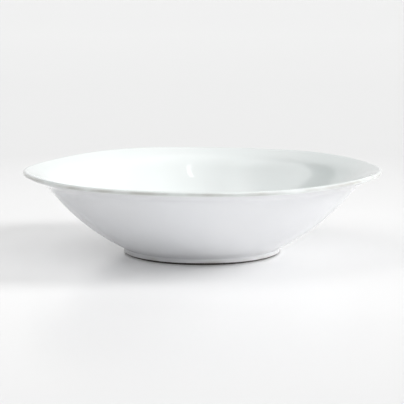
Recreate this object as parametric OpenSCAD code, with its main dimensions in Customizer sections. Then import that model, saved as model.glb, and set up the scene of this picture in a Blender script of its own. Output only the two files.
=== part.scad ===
// Round ceramic serving bowl: a clay body with a flared rim, a foot ring bonded on with slip,
// and coats of white glaze. Every piece is turned about the Z axis, and the bowl stands on Z = 0.
// Lengths are in millimetres and angles in degrees. A slope is measured up from level.

/* [Overall] */
// Diameter over the lip, glaze included
rim_d = 330; // [280:1:420]
// Height from the table to the top of the lip, glaze included
height = 78.5; // [68:0.5:100]

/* [Clay body] */
// Thickness of the clay in the wall, the flared rim and the lip
wall_t = 3.4; // [2.4:0.1:6]
// Thickness of the clay in the floor
floor_t = 4.6; // [3:0.1:8]
// Radius of the inside curve between the floor and the wall
floor_curve_r = 70; // [30:1:90]
// How far the outside of the wall bows out from a straight line between the foot and the rim
wall_bow = 5.8; // [3:0.1:10]
// Width of the flared rim along its slope, from the corner with the wall to the lip
rim_w = 20.5; // [14:0.5:34]
// Slope of the flared rim
rim_slope = 23.5; // [8:0.5:30]
// Outside radius of the shoulder that rounds the corner between the wall and the rim
shoulder_r = 35; // [10:1:45]

/* [Foot] */
// Outside diameter of the foot ring at the face that is bonded to the body
foot_d = 146; // [110:1:175]
// Height from the table to the underside of the floor
foot_h = 5.5; // [4.5:0.1:9]
// Width of the foot ring at the table, before its edges are rounded
foot_w = 6; // [4:0.1:12]
// Taper of both sides of the foot ring, which is widest at the top
foot_taper = 6; // [0:0.5:15]
// Radius of the rounded edges beside the bearing face
foot_edge_r = 1.2; // [0.4:0.1:1.8]

/* [Slip] */
// Thickness of the slip between the foot ring and the body
slip_t = 0.4; // [0.2:0.1:1]
// Radius of the smoothed slip in the corners on both sides of the foot ring
slip_cove_r = 3; // [1.5:0.1:4]

/* [Glaze] */
// Thickness of each coat of glaze
glaze_t = 0.4; // [0.2:0.05:0.8]
// Height above the table at which the wiped foot ring is bare
bare_h = 1.4; // [1:0.1:2.4]

/* [Hidden] */

glaze_color = [0.93, 0.94, 0.94];
clay_color = [0.46, 0.43, 0.39];
slip_color = [0.5, 0.47, 0.43];

// Furthest that a chord strays from its arc, and the gap under which two points are one
chord_error = 0.01;
same_point = 0.001;
turn_sides = 180;

// The lip is a half round as thick as the wall. The underside of the flared rim runs straight
// from the lip to the corner where it would meet the wall.
lip_r = wall_t / 2;
lip_c = [rim_d / 2 - glaze_t - lip_r, height - glaze_t - lip_r];
lip_under_a = rim_slope - 90;
lip_over_a = rim_slope + 90;
rim_dir = polar([0, 0], 1, rim_slope);
rim_end = polar(lip_c, lip_r, lip_under_a);
rim_corner = rim_end - rim_w * rim_dir;

// The outside of the wall is one arc from the foot joint to that corner
foot_joint = [foot_d / 2, foot_h];
wall_chord = rim_corner - foot_joint;
wall_half_turn = 2 * atan(2 * wall_bow / norm(wall_chord));
wall_r = norm(wall_chord) / (2 * sin(wall_half_turn));
wall_low_a = polar_angle(wall_chord) - wall_half_turn - 90;
wall_c = polar(foot_joint, wall_r, wall_low_a + 180);

// The shoulder is an arc that touches the wall and the underside of the rim
shoulder_at_lip = polar(rim_end, shoulder_r, lip_under_a);
shoulder_from_wall = shoulder_at_lip - wall_c;
shoulder_along = shoulder_from_wall * rim_dir;
shoulder_beside = cross(rim_dir, shoulder_from_wall);
shoulder_back = shoulder_along - sqrt((wall_r + shoulder_r) ^ 2 - shoulder_beside ^ 2);
shoulder_c = shoulder_at_lip - shoulder_back * rim_dir;
wall_high_a = polar_angle(shoulder_c - wall_c);

// The inside floor curve touches the level floor and the inside of the wall
floor_z = foot_h + floor_t;
floor_curve_z = floor_z + floor_curve_r;
floor_reach = wall_r - wall_t - floor_curve_r;
floor_curve_c = [wall_c.x + sqrt(floor_reach ^ 2 - (floor_curve_z - wall_c.y) ^ 2), floor_curve_z];
floor_wall_a = polar_angle(floor_curve_c - wall_c);

// The sides of the foot ring, and where its rounded edges sit
foot_edge_in = foot_edge_r * tan(45 - foot_taper / 2);
foot_out_edge_c = [foot_out_x(0) - foot_edge_in, foot_edge_r];
foot_in_edge_c = [foot_in_x(0) + foot_edge_in, foot_edge_r];

// The outside slip cove touches the side of the foot ring and the underside of the wall
side_to_wall_a = wall_low_a + 90 + foot_taper;
cove_flat = wall_r * cos(side_to_wall_a);
cove_drop = sqrt(cove_flat ^ 2 + 2 * wall_r * slip_cove_r * (1 - sin(side_to_wall_a))) - cove_flat;
cove_c = polar(polar(foot_joint, cove_drop, 270 - foot_taper), slip_cove_r, -foot_taper);
cove_wall_a = polar_angle(cove_c - wall_c);

// The inside slip cove touches the side of the foot ring and the underside of the floor
well_cove_in = slip_cove_r * tan(45 - foot_taper / 2);
well_cove_c = [foot_in_x(foot_h) - well_cove_in, foot_h - slip_cove_r];

// Radius of each side of the foot ring at a height
function foot_out_x(z) = foot_joint.x - (foot_h - z) * tan(foot_taper);
function foot_in_x(z) = foot_out_x(0) - foot_w - z * tan(foot_taper);

// A point at an angle round a centre, the angle of a direction, and the points along an arc
function polar(centre, r, a) = centre + r * [cos(a), sin(a)];
function polar_angle(v) = atan2(v.y, v.x);
function arc_steps(r, turn) = max(2, ceil(abs(turn) / (2 * acos(1 - chord_error / r))));
function arc(centre, r, from, to) =
    let (steps = arc_steps(r, to - from))
    [for (i = [0:steps]) polar(centre, r, from + (to - from) * i / steps)];

// A line of points in the other direction, and one without its repeated points
function reversed(points) = [for (i = [len(points) - 1:-1:0]) points[i]];
function distinct(points) =
    [for (i = [0:len(points) - 1]) if (i == 0 || norm(points[i] - points[i - 1]) > same_point) points[i]];

// The wall between the foot joint and the top of the slip cove
function wall_in_slip() = arc(wall_c, wall_r, wall_low_a, cove_wall_a);

// The outside, from the top of the slip cove up to the lip, raised from the clay
function outside_line(raise) = concat(
    arc(wall_c, wall_r + raise, cove_wall_a, wall_high_a),
    arc(shoulder_c, shoulder_r - raise, wall_high_a + 180, lip_over_a),
    [polar(lip_c, lip_r + raise, lip_under_a)]);

// The inside, from the lip's underside over the lip and down to the middle of the floor
function inside_line(raise) = concat(
    arc(lip_c, lip_r + raise, lip_under_a, lip_over_a),
    arc(shoulder_c, shoulder_r + wall_t + raise, lip_over_a, wall_high_a + 180),
    arc(wall_c, wall_r - wall_t - raise, wall_high_a, floor_wall_a),
    arc(floor_curve_c, floor_curve_r - raise, floor_wall_a, -90),
    [[0, floor_z + raise]]);

// The two slip coves, from the body down to the sides of the foot ring
function outside_cove(raise) = arc(cove_c, slip_cove_r - raise, cove_wall_a + 180, 180 - foot_taper);
function well_cove(raise) = arc(well_cove_c, slip_cove_r - raise, 90, foot_taper);

// How far a coat of glaze stands out of a tapered side, measured level
function level_raise(raise) = raise / cos(foot_taper);

// The outside of the foot, from the bare edge up to the wall, raised from the clay
function foot_line(raise) = concat(
    [[foot_out_x(bare_h) + level_raise(raise), bare_h]],
    reversed(outside_cove(raise)));

// The recess in the foot, from the middle of the floor down to the bare edge
function well_line(raise) = concat(
    [[0, foot_h - raise]],
    well_cove(raise),
    [[foot_in_x(bare_h) - level_raise(raise), bare_h]]);

module turned(outline) {
    rotate_extrude($fn = turn_sides)
        polygon(distinct(outline));
}

// A coat between a line on the clay and the same line raised by the glaze
module coat(clay_line, glaze_line) {
    turned(concat(clay_line, reversed(glaze_line)));
}

module bowl_body() {
    color(clay_color)
        turned(concat([[0, foot_h]], wall_in_slip(), outside_line(0), inside_line(0)));
}

module foot_ring() {
    top_z = foot_h - slip_t;
    color(clay_color)
        turned(concat(
            [[foot_in_x(top_z), top_z]],
            arc(foot_in_edge_c, foot_edge_r, 180 + foot_taper, 270),
            arc(foot_out_edge_c, foot_edge_r, -90, -foot_taper),
            [[foot_out_x(top_z), top_z]]));
}

module slip_seam() {
    top_z = foot_h - slip_t;
    color(slip_color)
        turned(concat(
            reversed(well_cove(0)),
            wall_in_slip(),
            outside_cove(0),
            [[foot_out_x(top_z), top_z]],
            [[foot_in_x(top_z), top_z]]));
}

module inside_glaze() {
    color(glaze_color)
        coat(inside_line(0), inside_line(glaze_t));
}

module outside_glaze() {
    color(glaze_color)
        coat(concat(foot_line(0), outside_line(0)), concat(foot_line(glaze_t), outside_line(glaze_t)));
}

module foot_well_glaze() {
    color(glaze_color)
        coat(well_line(0), well_line(glaze_t));
}

bowl_body();
foot_ring();
slip_seam();
inside_glaze();
outside_glaze();
foot_well_glaze();
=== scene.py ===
# A white glazed serving bowl on a pale floor, in soft light from the right.
import math

import bpy
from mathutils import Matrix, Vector


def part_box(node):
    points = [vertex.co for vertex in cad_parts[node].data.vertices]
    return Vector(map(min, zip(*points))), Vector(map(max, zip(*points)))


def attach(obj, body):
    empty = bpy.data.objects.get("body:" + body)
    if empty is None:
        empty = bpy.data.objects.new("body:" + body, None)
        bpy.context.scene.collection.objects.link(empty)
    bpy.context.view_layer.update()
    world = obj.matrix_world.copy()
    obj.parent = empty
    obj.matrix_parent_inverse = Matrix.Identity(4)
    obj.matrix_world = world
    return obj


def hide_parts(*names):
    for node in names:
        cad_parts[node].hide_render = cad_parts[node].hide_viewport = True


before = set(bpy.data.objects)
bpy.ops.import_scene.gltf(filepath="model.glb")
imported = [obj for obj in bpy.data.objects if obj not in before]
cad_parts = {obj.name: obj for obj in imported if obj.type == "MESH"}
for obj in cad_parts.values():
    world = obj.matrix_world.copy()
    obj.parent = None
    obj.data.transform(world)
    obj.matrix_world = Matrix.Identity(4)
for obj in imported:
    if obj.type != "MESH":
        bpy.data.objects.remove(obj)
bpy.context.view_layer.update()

MM = 0.001

# Sizes of the turned outline that model.glb gives
GLAZED_RIM_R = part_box("inside_glaze")[1][0]
GLAZED_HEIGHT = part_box("inside_glaze")[1][2]
GLAZE_T = GLAZED_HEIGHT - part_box("bowl_body")[1][2]
FOOT_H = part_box("bowl_body")[0][2]
FOOT_TOP_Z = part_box("foot_ring")[1][2]
FOOT_TOP_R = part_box("foot_ring")[1][0]
FLOOR_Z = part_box("inside_glaze")[0][2]
BARE_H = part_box("outside_glaze")[0][2]

# Sizes of the turned outline that are the same as in the part's own design
WALL_T = 3.4 * MM
FLOOR_CURVE_R = 70 * MM
WALL_BOW = 5.8 * MM
RIM_W = 20.5 * MM
RIM_SLOPE = 23.5
SHOULDER_R = 35 * MM
FOOT_W = 6 * MM
FOOT_TAPER = 6
FOOT_EDGE_R = 1.2 * MM
SLIP_COVE_R = 3 * MM

# Radius of the rolled edge in which the glaze ends at the wiped foot
GLAZE_EDGE_R = 0.25 * MM

# How finely the outline and the turn are divided
SECTORS = 192
ARC_STEP = 6
ARC_CHORD = 4 * MM
SAME_POINT = 0.002 * MM
SHARP_ANGLE = math.radians(35)

# The rim and the wiped line are uneven: crests round the bowl, height in mm and angle of each wave
RISE_WAVES = ((1, 0.4, 5), (2, 0.35, 175), (3, 0.6, -70), (4, 0.4, 150), (5, 0.6, -120))
SPREAD_WAVES = ((1, 0.35, -10), (2, 0.6, 0), (3, 0.3, -35))
WIPE_WAVES = ((2, 0.4, 180), (3, 0.1, 40), (7, 0.08, 110))

# Inside this radius the rim's waves have died out
EVEN_R = 120 * MM

# The glaze is tinted at an angle round the lip and at the bare foot, partly where it thins over the clay
# and partly as painted shade (the dark line along the lip's edge, the darker foot), and is full at these
# lengths from there
LIP_CROWN = 5
LIP_FADE = 2.6 * MM
FOOT_FADE = 4 * MM
THIN_LIP_AND_SHADE = 0.9


def polar(centre, r, angle):
    """The point at an angle, in degrees, round a centre."""
    a = math.radians(angle)
    return Vector((centre[0] + r * math.cos(a), centre[1] + r * math.sin(a)))


def polar_angle(v):
    return math.degrees(math.atan2(v[1], v[0]))


def arc(centre, r, start, end):
    """Points along an arc, closer together on a tight one."""
    turn = abs(end - start)
    steps = max(2, math.ceil(turn / ARC_STEP), math.ceil(math.radians(turn) * r / ARC_CHORD))
    return [polar(centre, r, start + (end - start) * i / steps) for i in range(steps + 1)]


def straight(start, end):
    """Points along a straight stretch, both ends included."""
    steps = max(1, math.ceil((end - start).length / ARC_CHORD))
    return [start.lerp(end, i / steps) for i in range(steps + 1)]


class Outline:
    """The lines of the turned section, each raised from the clay by a thickness of glaze."""

    def __init__(self):
        self.lip_r = WALL_T / 2
        lip_in = GLAZE_T + self.lip_r
        self.lip_c = Vector((GLAZED_RIM_R - lip_in, GLAZED_HEIGHT - lip_in))
        self.under_a = RIM_SLOPE - 90
        self.over_a = RIM_SLOPE + 90
        rim_dir = polar((0, 0), 1, RIM_SLOPE)
        rim_end = polar(self.lip_c, self.lip_r, self.under_a)
        self.taper = math.tan(math.radians(FOOT_TAPER))
        self.level = 1 / math.cos(math.radians(FOOT_TAPER))
        self.joint = Vector((FOOT_TOP_R + (FOOT_H - FOOT_TOP_Z) * self.taper, FOOT_H))

        # The wall is one arc from the foot joint to the corner with the rim
        chord = rim_end - RIM_W * rim_dir - self.joint
        half_turn = 2 * math.degrees(math.atan(2 * WALL_BOW / chord.length))
        self.wall_r = chord.length / (2 * math.sin(math.radians(half_turn)))
        self.wall_low_a = polar_angle(chord) - half_turn - 90
        self.wall_c = polar(self.joint, self.wall_r, self.wall_low_a + 180)

        # The shoulder touches the wall and the underside of the rim
        at_lip = polar(rim_end, SHOULDER_R, self.under_a)
        from_wall = at_lip - self.wall_c
        beside = rim_dir[0] * from_wall[1] - rim_dir[1] * from_wall[0]
        back = from_wall.dot(rim_dir) - math.sqrt((self.wall_r + SHOULDER_R) ** 2 - beside ** 2)
        self.shoulder_c = at_lip - back * rim_dir
        self.wall_high_a = polar_angle(self.shoulder_c - self.wall_c)

        # The floor curve touches the floor and the inside of the wall
        reach = self.wall_r - WALL_T - FLOOR_CURVE_R
        curve_z = FLOOR_Z + FLOOR_CURVE_R
        curve_x = self.wall_c[0] + math.sqrt(reach ** 2 - (curve_z - self.wall_c[1]) ** 2)
        self.floor_c = Vector((curve_x, curve_z))
        self.floor_a = polar_angle(self.floor_c - self.wall_c)

        # The slip cove outside the foot touches the foot's side and the wall
        lean = math.radians(self.wall_low_a + 90 + FOOT_TAPER)
        flat = self.wall_r * math.cos(lean)
        drop = math.sqrt(flat ** 2 + 2 * self.wall_r * SLIP_COVE_R * (1 - math.sin(lean))) - flat
        self.cove_c = polar(polar(self.joint, drop, 270 - FOOT_TAPER), SLIP_COVE_R, -FOOT_TAPER)
        self.cove_a = polar_angle(self.cove_c - self.wall_c)

        # The slip cove inside the foot touches the foot's side and the floor's underside
        edge_in = math.tan(math.radians(45 - FOOT_TAPER / 2))
        self.well_cove_c = Vector((self.foot_in(FOOT_H) - SLIP_COVE_R * edge_in, FOOT_H - SLIP_COVE_R))
        self.edge_out_c = Vector((self.foot_out(0) - FOOT_EDGE_R * edge_in, FOOT_EDGE_R))
        self.edge_in_c = Vector((self.foot_in(0) + FOOT_EDGE_R * edge_in, FOOT_EDGE_R))

    def foot_out(self, z):
        return self.joint[0] - (FOOT_H - z) * self.taper

    def foot_in(self, z):
        return self.foot_out(0) - FOOT_W - z * self.taper

    def wall_in_slip(self):
        return arc(self.wall_c, self.wall_r, self.wall_low_a, self.cove_a)

    def outside(self, up):
        shoulder_end = polar(self.shoulder_c, SHOULDER_R - up, self.over_a)
        return (arc(self.wall_c, self.wall_r + up, self.cove_a, self.wall_high_a)
                + arc(self.shoulder_c, SHOULDER_R - up, self.wall_high_a + 180, self.over_a)
                + straight(shoulder_end, polar(self.lip_c, self.lip_r + up, self.under_a)))

    def inside(self, up):
        lip = arc(self.lip_c, self.lip_r + up, self.under_a, self.over_a)
        shoulder = arc(self.shoulder_c, SHOULDER_R + WALL_T + up, self.over_a, self.wall_high_a + 180)
        floor_curve = arc(self.floor_c, FLOOR_CURVE_R - up, self.floor_a, -90)
        return (lip
                + straight(lip[-1], shoulder[0])
                + shoulder
                + arc(self.wall_c, self.wall_r - WALL_T - up, self.wall_high_a, self.floor_a)
                + floor_curve
                + straight(floor_curve[-1], Vector((0, FLOOR_Z + up))))

    def outside_cove(self, up):
        return arc(self.cove_c, SLIP_COVE_R - up, self.cove_a + 180, 180 - FOOT_TAPER)

    def well_cove(self, up):
        return arc(self.well_cove_c, SLIP_COVE_R - up, 90, FOOT_TAPER)

    def body(self):
        return [Vector((0, FOOT_H))] + self.wall_in_slip() + self.outside(0) + self.inside(0)

    def foot(self):
        return ([Vector((self.foot_in(FOOT_TOP_Z), FOOT_TOP_Z))]
                + arc(self.edge_in_c, FOOT_EDGE_R, 180 + FOOT_TAPER, 270)
                + arc(self.edge_out_c, FOOT_EDGE_R, -90, -FOOT_TAPER)
                + [Vector((self.foot_out(FOOT_TOP_Z), FOOT_TOP_Z))])

    def slip(self):
        return (self.well_cove(0)[::-1]
                + self.wall_in_slip()
                + self.outside_cove(0)
                + [Vector((self.foot_out(FOOT_TOP_Z), FOOT_TOP_Z))]
                + [Vector((self.foot_in(FOOT_TOP_Z), FOOT_TOP_Z))])

    def inside_coat(self):
        return self.inside(0) + self.inside(GLAZE_T)[::-1]

    def outside_coat(self):
        edge_z = BARE_H + GLAZE_EDGE_R
        edge_c = Vector((self.foot_out(edge_z) + (GLAZE_T - GLAZE_EDGE_R) * self.level, edge_z))
        on_clay = [Vector((self.foot_out(BARE_H), BARE_H))] + self.outside_cove(0)[::-1]
        on_glaze = arc(edge_c, GLAZE_EDGE_R, -90, -FOOT_TAPER) + self.outside_cove(GLAZE_T)[::-1]
        return on_clay + self.outside(0) + (on_glaze + self.outside(GLAZE_T))[::-1]

    def well_coat(self):
        edge_z = BARE_H + GLAZE_EDGE_R
        edge_c = Vector((self.foot_in(edge_z) - (GLAZE_T - GLAZE_EDGE_R) * self.level, edge_z))
        on_clay = self.well_cove(0) + [Vector((self.foot_in(BARE_H), BARE_H))]
        on_glaze = self.well_cove(GLAZE_T) + arc(edge_c, GLAZE_EDGE_R, 180 + FOOT_TAPER, 270)
        middle = straight(Vector((0, FOOT_H)), on_clay[0])
        raised_middle = straight(Vector((0, FOOT_H - GLAZE_T)), on_glaze[0])
        return middle + on_clay + (raised_middle + on_glaze)[::-1]


def wave(angle, waves):
    return sum(height * MM * math.cos(crests * angle - math.radians(at)) for crests, height, at in waves)


def uneven(r, angle, z):
    """A point of the turned shape, moved by the unevenness that grows towards the rim."""
    share = max(0.0, (r - EVEN_R) / (GLAZED_RIM_R - EVEN_R)) ** 2
    spread = r + share * wave(angle, SPREAD_WAVES)
    return (spread * math.cos(angle), spread * math.sin(angle), z + share * wave(angle, RISE_WAVES))


def wiped(r, angle, z):
    """A point of a coat, moved by the wandering of the line where the glaze was wiped off."""
    share = max(0.0, min(1.0, (FOOT_H - z) / (FOOT_H - BARE_H)))
    return uneven(r, angle, z + share * wave(angle, WIPE_WAVES))


def thinness_and_shade(line, point):
    """How much the glaze is tinted, where it thins and as painted shade: 0 for a full coat, 1 at the
    wiped edge.
    """
    crown = polar(line.lip_c, line.lip_r + GLAZE_T, LIP_CROWN)
    # Round the lip and near the foot the tint is partly painted shade, besides glaze that thins
    at_lip = THIN_LIP_AND_SHADE * (1 - (point - crown).length / LIP_FADE)
    at_foot = 1 - (point[1] - BARE_H) / FOOT_FADE
    return max(0.0, min(1.0, at_lip if point[0] > EVEN_R else at_foot))


def distinct(points):
    """A loop of points without those that repeat the one before."""
    kept = [points[0]]
    for point in points[1:]:
        if (point - kept[-1]).length > SAME_POINT:
            kept.append(point)
    if (kept[0] - kept[-1]).length <= SAME_POINT:
        kept.pop()
    return kept


def loop_area(points):
    """Twice the area inside a loop of points, below zero where the loop runs clockwise."""
    return sum(a[0] * b[1] - b[0] * a[1] for a, b in zip(points, points[1:] + points[:1]))


def turned(name, line, points, place, material, node):
    """A closed mesh turned from a loop of points, smooth apart from its real edges."""
    points = distinct(points)
    if loop_area(points) < 0:
        points.reverse()
    verts, thin_and_shade, rings = [], [], []
    for point in points:
        on_axis = point[0] < SAME_POINT
        count = 1 if on_axis else SECTORS
        ring = [len(verts) + (0 if on_axis else i) for i in range(SECTORS)]
        rings.append(ring)
        verts += [place(point[0], 2 * math.pi * i / SECTORS, point[1]) for i in range(count)]
        thin_and_shade += [thinness_and_shade(line, point)] * count
    faces = []
    for near, far in zip(rings, rings[1:] + rings[:1]):
        for i in range(SECTORS):
            j = (i + 1) % SECTORS
            corners = list(dict.fromkeys((near[i], near[j], far[j], far[i])))
            if len(corners) > 2:
                faces.append(corners)
    mesh = bpy.data.meshes.new(name)
    mesh.from_pydata(verts, [], faces)
    mesh.polygons.foreach_set("use_smooth", [True] * len(mesh.polygons))
    mesh.set_sharp_from_angle(angle=SHARP_ANGLE)
    # Stores how much each point is tinted, where the glaze thins and as painted shade
    mesh.attributes.new("thin_glaze_and_shade", "FLOAT", "POINT").data.foreach_set("value", thin_and_shade)
    mesh.materials.append(material)
    piece = bpy.data.objects.new(name, mesh)
    bpy.context.scene.collection.objects.link(piece)
    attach(piece, "root")
    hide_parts(node)


class Nodes:
    """A tree of nodes, with the kinds of node that the materials and the world have in common."""

    def __init__(self, owner):
        owner.use_nodes = True
        self.tree = owner.node_tree

    def node(self, kind, **settings):
        made = self.tree.nodes.new(kind)
        for setting, value in settings.items():
            setattr(made, setting, value)
        return made

    def feed(self, socket, value):
        """Links another node's output to a socket, or sets a plain value on it."""
        if isinstance(value, bpy.types.NodeSocket):
            self.tree.links.new(value, socket)
        else:
            socket.default_value = value

    def spread(self, value, low, high, to_low, to_high, curve="LINEAR"):
        """A value carried from one range to another, held at the ends."""
        made = self.node("ShaderNodeMapRange", interpolation_type=curve)
        ends = {"Value": value, "From Min": low, "From Max": high, "To Min": to_low, "To Max": to_high}
        for name, end in ends.items():
            self.feed(made.inputs[name], end)
        return made.outputs["Result"]

    def combine(self, operation, first, second):
        made = self.node("ShaderNodeMath", operation=operation)
        self.feed(made.inputs[0], first)
        self.feed(made.inputs[1], second)
        return made.outputs["Value"]

    def seen_directly(self):
        """One for the rays that show the background: straight, mirrored or through glass."""
        rays = self.node("ShaderNodeLightPath").outputs
        straight_or_mirrored = self.combine("MAXIMUM", rays["Is Camera Ray"], rays["Is Glossy Ray"])
        return self.combine("MAXIMUM", straight_or_mirrored, rays["Is Transmission Ray"])


class Shading(Nodes):
    """A material with its main shader, and the kinds of node that its detail is made of."""

    def __init__(self, name):
        self.material = bpy.data.materials.new(name)
        super().__init__(self.material)
        self.shader = self.tree.nodes["Principled BSDF"]
        self.place = self.node("ShaderNodeTexCoord").outputs["Object"]

    def set(self, **values):
        """Sets the main shader's sockets, with an underscore for each space in a name."""
        for name, value in values.items():
            self.feed(self.shader.inputs[name.replace("_", " ")], value)

    def noise(self, size, detail):
        """Soft noise whose patches are about this size."""
        made = self.node("ShaderNodeTexNoise")
        self.feed(made.inputs["Vector"], self.place)
        made.inputs["Scale"].default_value = 1 / size
        made.inputs["Detail"].default_value = detail
        return made.outputs["Fac"]

    def specks(self, size, share):
        """Ones in small spots, each in the middle of a cell of this size, and zeros between."""
        cells = self.node("ShaderNodeTexVoronoi")
        self.feed(cells.inputs["Vector"], self.place)
        cells.inputs["Scale"].default_value = 1 / size
        return self.spread(cells.outputs["Distance"], low=0, high=share, to_low=1, to_high=0)

    def colours(self, value, *stops):
        """A colour picked by a value from stops, each a place and a colour."""
        made = self.node("ShaderNodeValToRGB")
        self.feed(made.inputs["Fac"], value)
        for element, (at, colour) in zip(made.color_ramp.elements, stops):
            element.position = at
            element.color = (*colour, 1)
        return made.outputs["Color"]

    def mixed(self, factor, first, second):
        """A colour between two, of which the second may be a plain one."""
        made = self.node("ShaderNodeMixRGB")
        self.feed(made.inputs["Fac"], factor)
        self.feed(made.inputs["Color1"], first)
        self.feed(made.inputs["Color2"], second)
        return made.outputs["Color"]

    def bump(self, height, depth, under=None):
        """Bumps as deep as stated, over any that lie under them."""
        made = self.node("ShaderNodeBump")
        made.inputs["Distance"].default_value = depth
        self.feed(made.inputs["Height"], height)
        if under is not None:
            self.feed(made.inputs["Normal"], under)
        return made.outputs["Normal"]

    def height(self):
        """How high a point is above the floor."""
        split = self.node("ShaderNodeSeparateXYZ")
        self.feed(split.inputs["Vector"], self.place)
        return split.outputs["Z"]


# Between these levels lie most of a soft noise, and most of a finer one
SOFT_LOW, SOFT_HIGH = 0.35, 0.65
GRAIN_LOW, GRAIN_HIGH = 0.3, 0.7


def white_glaze(name, darker, lighter):
    """Glossy white glaze: cloudy in tint, dimpled very faintly, and tinted grey where it thins over the
    clay, and as painted shade along the lip and at the foot.
    """
    # A grey tint for glaze that thins over the clay, which also paints shade: the dark line along the
    # lip's edge and the darker foot
    thin_and_shade_tint = (0.47, 0.45, 0.42, 1)
    look = Shading(name)
    clouds = look.noise(size=90 * MM, detail=2)
    white = look.colours(clouds, (SOFT_LOW, darker), (SOFT_HIGH, lighter))
    thin_and_shade = look.node("ShaderNodeAttribute", attribute_name="thin_glaze_and_shade").outputs["Fac"]
    patches = look.noise(size=34 * MM, detail=2)
    most_tint = look.spread(patches, low=0.4, high=SOFT_HIGH, to_low=0.15, to_high=0.85)
    smears = look.noise(size=6 * MM, detail=3)
    swell = look.bump(look.noise(size=40 * MM, detail=1), depth=0.05 * MM)
    look.set(
        Base_Color=look.mixed(look.spread(thin_and_shade, 0, 1, 0, most_tint), white, thin_and_shade_tint),
        Roughness=look.spread(smears, SOFT_LOW, SOFT_HIGH, to_low=0.035, to_high=0.065),
        IOR=1.5,
        Normal=look.bump(look.noise(size=2.5 * MM, detail=2), depth=0.004 * MM, under=swell))
    return look.material


def clay_darkened_as_shade():
    """Clay made near black as painted shade, so that the bare band at the foot shows as a dark contact
    line: mottled and speckled, gritty, and rubbed paler on the table face.
    """
    # Near-black clay colours, which paint the contact shadow along the foot's bare band
    darker, lighter = (0.045, 0.039, 0.034), (0.085, 0.075, 0.066)
    dark_speck = (0.022, 0.019, 0.017, 1)
    rubbed_pale = (0.17, 0.154, 0.136, 1)
    look = Shading("clay_darkened_as_shade")
    grain = look.noise(size=1.5 * MM, detail=4)
    mottled = look.colours(grain, (GRAIN_LOW, darker), (GRAIN_HIGH, lighter))
    speckled = look.mixed(look.specks(size=1.2 * MM, share=0.3), mottled, dark_speck)
    rubbed = look.spread(look.height(), low=0.02 * MM, high=0.2 * MM, to_low=0.6, to_high=0)
    look.set(
        Base_Color=look.mixed(rubbed, speckled, rubbed_pale),
        Roughness=look.spread(grain, GRAIN_LOW, GRAIN_HIGH, to_low=0.95, to_high=0.78),
        Normal=look.bump(look.noise(size=0.8 * MM, detail=3), depth=0.12 * MM))
    return look.material


def fired_slip():
    """Slip that was smoothed on and fired: finer and paler than the clay, with soft brush ridges."""
    darker, lighter = (0.15, 0.128, 0.108), (0.22, 0.195, 0.168)
    look = Shading("fired_slip")
    grain = look.noise(size=0.8 * MM, detail=3)
    look.set(
        Base_Color=look.colours(grain, (GRAIN_LOW, darker), (GRAIN_HIGH, lighter)),
        Roughness=look.spread(grain, GRAIN_LOW, GRAIN_HIGH, to_low=0.9, to_high=0.75),
        Normal=look.bump(look.noise(size=3 * MM, detail=2), depth=0.08 * MM))
    return look.material


# The bowl, with a faintly green glaze inside and a faintly blue one outside
line = Outline()
poured = white_glaze("poured_glaze", darker=(0.815, 0.86, 0.85), lighter=(0.835, 0.868, 0.86))
dipped = white_glaze("dipped_glaze", darker=(0.86, 0.872, 0.895), lighter=(0.875, 0.882, 0.9))
# The clay's near-black colour is painted shade for the contact line at the foot
clay = clay_darkened_as_shade()
slip = fired_slip()
turned("clay_bowl", line, line.body(), uneven, clay, "bowl_body")
turned("clay_foot", line, line.foot(), uneven, clay, "foot_ring")
turned("slip_joint", line, line.slip(), uneven, slip, "slip_seam")
turned("glaze_inside", line, line.inside_coat(), uneven, poured, "inside_glaze")
turned("glaze_outside", line, line.outside_coat(), wiped, dipped, "outside_glaze")
turned("glaze_foot_well", line, line.well_coat(), wiped, dipped, "foot_well_glaze")

# The camera, with the photograph's frame and viewing angle
FRAME_PX = 404
FOCAL_PX = 1394
CAMERA_DISTANCE = 1.3
CAMERA_PITCH = math.radians(8.65)
CAMERA_AIM = Vector((0, 0, 45.7 * MM))
FARTHEST_SEEN = 200

camera_data = bpy.data.cameras.new("camera")
camera_data.lens = camera_data.sensor_width * FOCAL_PX / FRAME_PX
camera_data.clip_end = FARTHEST_SEEN
camera = bpy.data.objects.new("camera", camera_data)
bpy.context.scene.collection.objects.link(camera)
ahead = Vector((0, math.cos(CAMERA_PITCH), -math.sin(CAMERA_PITCH)))
camera.location = CAMERA_AIM - CAMERA_DISTANCE * ahead
camera.rotation_euler = (math.pi / 2 - CAMERA_PITCH, 0, 0)
bpy.context.scene.camera = camera

# The floor, a smooth white board, greyer far off, that is clear from below and open under the foot
FLOOR_R = 60
FLOOR_SIDES = 96
FLOOR_NEAR = 0.9
FLOOR_FAR = 0.72
FADE_START = 0.28
FADE_END = 0.8
FLOOR_ROUGHNESS = 0.2
FLOOR_GLOW = 0.05


def pale_floor():
    """A pale sheen with a faint glow, which lightens the shadows that the camera sees."""
    look = Shading("pale_floor")
    distance = look.node("ShaderNodeVectorMath", operation="LENGTH")
    look.feed(distance.inputs[0], look.place)
    fade = look.spread(distance.outputs["Value"], FADE_START, FADE_END, to_low=0, to_high=1)
    look.set(
        Base_Color=look.colours(fade, (0, (FLOOR_NEAR,) * 3), (1, (FLOOR_FAR,) * 3)),
        Roughness=FLOOR_ROUGHNESS,
        Emission_Color=(FLOOR_GLOW, FLOOR_GLOW, FLOOR_GLOW, 1),
        Emission_Strength=look.seen_directly())
    clear = look.node("ShaderNodeBsdfTransparent")
    sides = look.node("ShaderNodeMixShader")
    look.feed(sides.inputs["Fac"], look.node("ShaderNodeNewGeometry").outputs["Backfacing"])
    look.feed(sides.inputs[1], look.shader.outputs["BSDF"])
    look.feed(sides.inputs[2], clear.outputs["BSDF"])
    look.feed(look.tree.nodes["Material Output"].inputs["Surface"], sides.outputs["Shader"])
    return look.material


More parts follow.
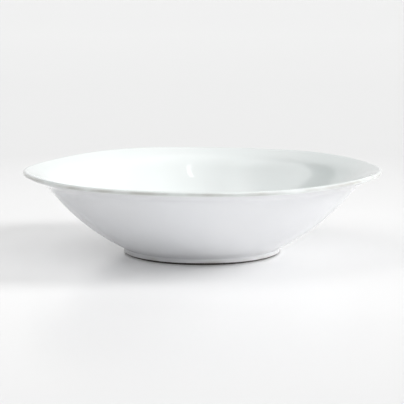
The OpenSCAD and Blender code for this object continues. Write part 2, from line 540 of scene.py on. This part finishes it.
under_foot_r = (line.edge_in_c[0] + line.edge_out_c[0]) / 2
floor_verts = []
for r in (under_foot_r, FLOOR_R):
    flat_ring = [polar((0, 0), r, 360 * i / FLOOR_SIDES) for i in range(FLOOR_SIDES)]
    floor_verts += [(point[0], point[1], 0) for point in flat_ring]
floor_faces = []
for i in range(FLOOR_SIDES):
    j = (i + 1) % FLOOR_SIDES
    floor_faces.append((i, FLOOR_SIDES + i, FLOOR_SIDES + j, j))
floor_mesh = bpy.data.meshes.new("floor")
floor_mesh.from_pydata(floor_verts, [], floor_faces)
floor_mesh.materials.append(pale_floor())
floor = bpy.data.objects.new("floor", floor_mesh)
bpy.context.scene.collection.objects.link(floor)


# The lamps, with angles in degrees and lengths in metres
KEY_AZIMUTH, KEY_ELEVATION = 0, 30
KEY_STRENGTH = 2.2
KEY_WIDTH = 22
STRIP_AZIMUTH, STRIP_ELEVATION = 296, 72
STRIP_DISTANCE = 2
STRIP_POWER = 0.5
STRIP_WIDTH, STRIP_LENGTH = 0.07, 0.5

# The even light on the bowl, and the background as it is seen, straight or mirrored
AMBIENT = 0.17
PALE = 0.863


def toward(azimuth, elevation):
    """The direction from the bowl to a light: azimuth 0 is to its right and 90 behind it."""
    a, e = math.radians(azimuth), math.radians(elevation)
    return Vector((math.cos(e) * math.cos(a), math.cos(e) * math.sin(a), math.sin(e)))


def lamp(kind, name, azimuth, elevation, energy):
    """A lamp that shines on the bowl from a direction."""
    data = bpy.data.lights.new(name, kind)
    data.energy = energy
    made = bpy.data.objects.new(name, data)
    bpy.context.scene.collection.objects.link(made)
    made.rotation_mode = "QUATERNION"
    made.rotation_quaternion = toward(azimuth, elevation).to_track_quat("Z", "Y")
    return made


# The key lamp, which nothing mirrors, because the floor's sheen would show it as a white glare
key = lamp("SUN", "key", KEY_AZIMUTH, KEY_ELEVATION, KEY_STRENGTH)
key.data.angle = math.radians(KEY_WIDTH)
key.visible_glossy = False

# A narrow ceiling light, which shows as a highlight in the glaze
strip = lamp("AREA", "strip", STRIP_AZIMUTH, STRIP_ELEVATION, STRIP_POWER)
strip.data.shape = "RECTANGLE"
strip.data.size = STRIP_WIDTH
strip.data.size_y = STRIP_LENGTH
strip.location = STRIP_DISTANCE * toward(STRIP_AZIMUTH, STRIP_ELEVATION)
strip.visible_camera = False


class Studio(Nodes):
    """The world: an even light with large soft round panels in it, all far away."""

    def __init__(self):
        self.world = bpy.data.worlds.new("studio")
        super().__init__(self.world)
        self.direction = self.node("ShaderNodeTexCoord").outputs["Generated"]
        rays = self.node("ShaderNodeLightPath").outputs
        self.camera_ray = rays["Is Camera Ray"]
        self.mirror_ray = rays["Is Glossy Ray"]
        self.panels = 0
        self.past_card = 1

    def patch(self, azimuth, elevation, half_width, edge, outside, inside):
        """A soft round patch of the sky, with one value inside it and another outside."""
        facing = self.node("ShaderNodeVectorMath", operation="DOT_PRODUCT")
        self.feed(facing.inputs[0], self.direction)
        self.feed(facing.inputs[1], toward(azimuth, elevation))
        edge_ends = [math.cos(math.radians(half_width + side * edge)) for side in (1, -1)]
        return self.spread(facing.outputs["Value"], *edge_ends, outside, inside, curve="SMOOTHSTEP")

    def panel(self, azimuth, elevation, half_width, edge, strength, mirrored=1):
        """A lit panel, and the share of its strength that shows where it is mirrored."""
        lit = self.patch(azimuth, elevation, half_width, edge, outside=0, inside=strength)
        hidden = self.combine("MULTIPLY", self.mirror_ray, 1 - mirrored)
        shown = self.combine("MULTIPLY", lit, self.combine("SUBTRACT", 1, hidden))
        self.panels = self.combine("ADD", self.panels, shown)

    def dark_card(self, azimuth, elevation, half_width, edge):
        """A black card, which shows as a darker patch in the glaze."""
        self.past_card = self.patch(azimuth, elevation, half_width, edge, outside=1, inside=0)

    def finish(self):
        """Adds the panels, which the camera doesn't see, to the background or the even light."""
        shown_pale = self.combine("MULTIPLY", self.seen_directly(), PALE - AMBIENT)
        even = self.combine("ADD", AMBIENT, shown_pale)
        panels = self.combine("MULTIPLY", self.panels, self.combine("SUBTRACT", 1, self.camera_ray))
        past_card = self.combine("MAXIMUM", self.past_card, self.camera_ray)
        strength = self.combine("MULTIPLY", self.combine("ADD", even, panels), past_card)
        background = self.tree.nodes["Background"]
        self.feed(background.inputs["Color"], (1, 1, 1, 1))
        self.feed(background.inputs["Strength"], strength)
        bpy.context.scene.world = self.world


studio = Studio()
studio.panel(azimuth=185, elevation=47, half_width=30, edge=3, strength=1.4)
studio.panel(azimuth=300, elevation=42, half_width=18, edge=8, strength=0.4)
studio.panel(azimuth=318, elevation=4, half_width=22, edge=6, strength=2.1, mirrored=0.1)
studio.panel(azimuth=335, elevation=3, half_width=14, edge=4, strength=2.6, mirrored=0.1)
studio.panel(azimuth=0, elevation=88, half_width=25, edge=6, strength=0.8)
studio.dark_card(azimuth=131, elevation=36, half_width=11, edge=4)
studio.finish()

bpy.context.scene.view_settings.view_transform = "Standard"
